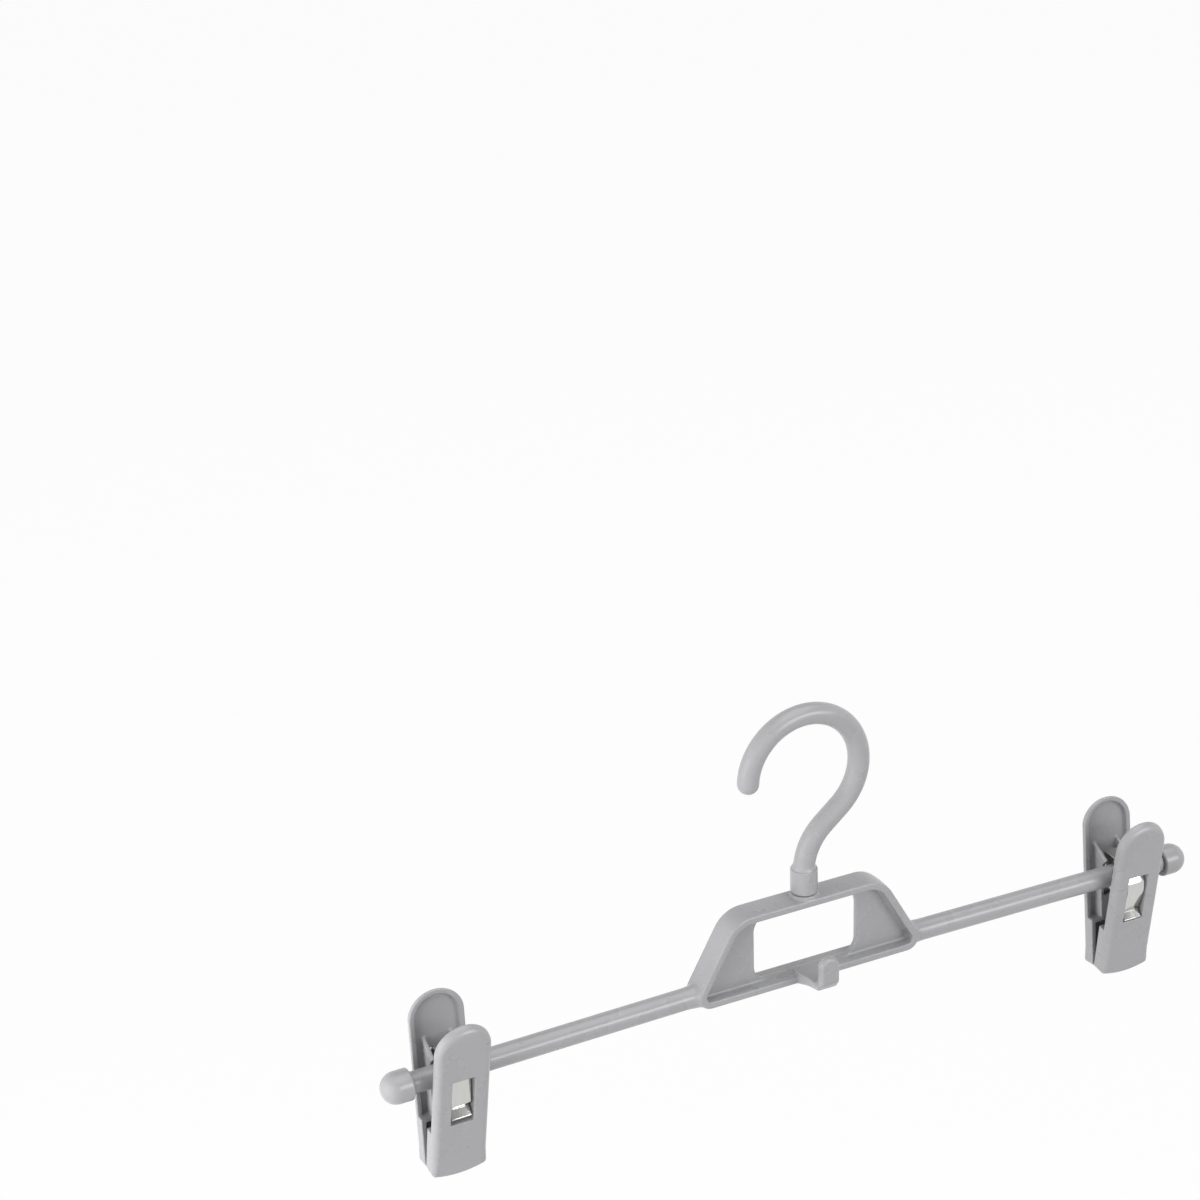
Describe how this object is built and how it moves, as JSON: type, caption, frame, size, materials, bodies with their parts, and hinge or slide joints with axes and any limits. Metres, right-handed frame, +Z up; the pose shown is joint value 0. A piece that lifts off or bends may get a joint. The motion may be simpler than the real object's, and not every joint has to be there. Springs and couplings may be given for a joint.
{
  "type": "skirt hanger",
  "caption": "Hanger with a swivel hook over a windowed frame, a long arm each way, and sprung pinch clips that slide along the arms.",
  "frame": {"origin": "centre of the hook's bend, where a wardrobe rail passes", "axes": "+X along the arms to the right, +Y to the back (along the rail), +Z up"},
  "size_m": [0.33, 0.0328, 0.1448],
  "materials": {
    "moulded_plastic": "satin, fine moulded",
    "spring_steel": "bright zinc plated"
  },
  "bodies": {
    "hook": {"hook": "moulded_plastic", "hook_collar": "moulded_plastic"},
    "frame": {"frame": "moulded_plastic", "left_end_knob": "moulded_plastic", "right_end_knob": "moulded_plastic"},
    "left_spring": {"left_clip_spring": "spring_steel"},
    "left_back": {"left_back_jaw": "moulded_plastic"},
    "left_front": {"left_front_jaw": "moulded_plastic"},
    "right_spring": {"right_clip_spring": "spring_steel"},
    "right_back": {"right_back_jaw": "moulded_plastic"},
    "right_front": {"right_front_jaw": "moulded_plastic"}
  },
  "joints": [
    {"name": "hook_swivel", "type": "hinge", "parent": "hook", "child": "frame", "pos_m": [0, 0, 0], "axis": [0, 0, 1], "continuous": true},
    {"name": "left_clip_slide", "type": "slide", "parent": "frame", "child": "left_spring", "axis": [-0.9999, 0, -0.0113], "range_m": [-0.0823, 0.009]},
    {"name": "left_clip_turn", "type": "hinge", "parent": "left_spring", "child": "left_back", "pos_m": [-0.13919, 0, -0.07827], "axis": [0.9999, 0, 0.0113], "continuous": true},
    {"name": "left_clip_open", "type": "hinge", "parent": "left_back", "child": "left_front", "pos_m": [-0.13919, 0, -0.07827], "axis": [-0.9999, 0, -0.0113], "range_deg": [0, 32], "stiffness_Nm_per_rad": 0.25, "springref_deg": -28.65, "deforming": ["left_clip_spring"]},
    {"name": "right_clip_slide", "type": "slide", "parent": "frame", "child": "right_spring", "axis": [0.9999, 0, -0.0113], "range_m": [-0.0803, 0.011]},
    {"name": "right_clip_turn", "type": "hinge", "parent": "right_spring", "child": "right_back", "pos_m": [0.13719, 0, -0.07825], "axis": [0.9999, 0, -0.0113], "continuous": true},
    {"name": "right_clip_open", "type": "hinge", "parent": "right_back", "child": "right_front", "pos_m": [0.13719, 0, -0.07825], "axis": [-0.9999, 0, 0.0113], "range_deg": [0, 32], "stiffness_Nm_per_rad": 0.25, "springref_deg": -28.65, "deforming": ["right_clip_spring"]}
  ]
}
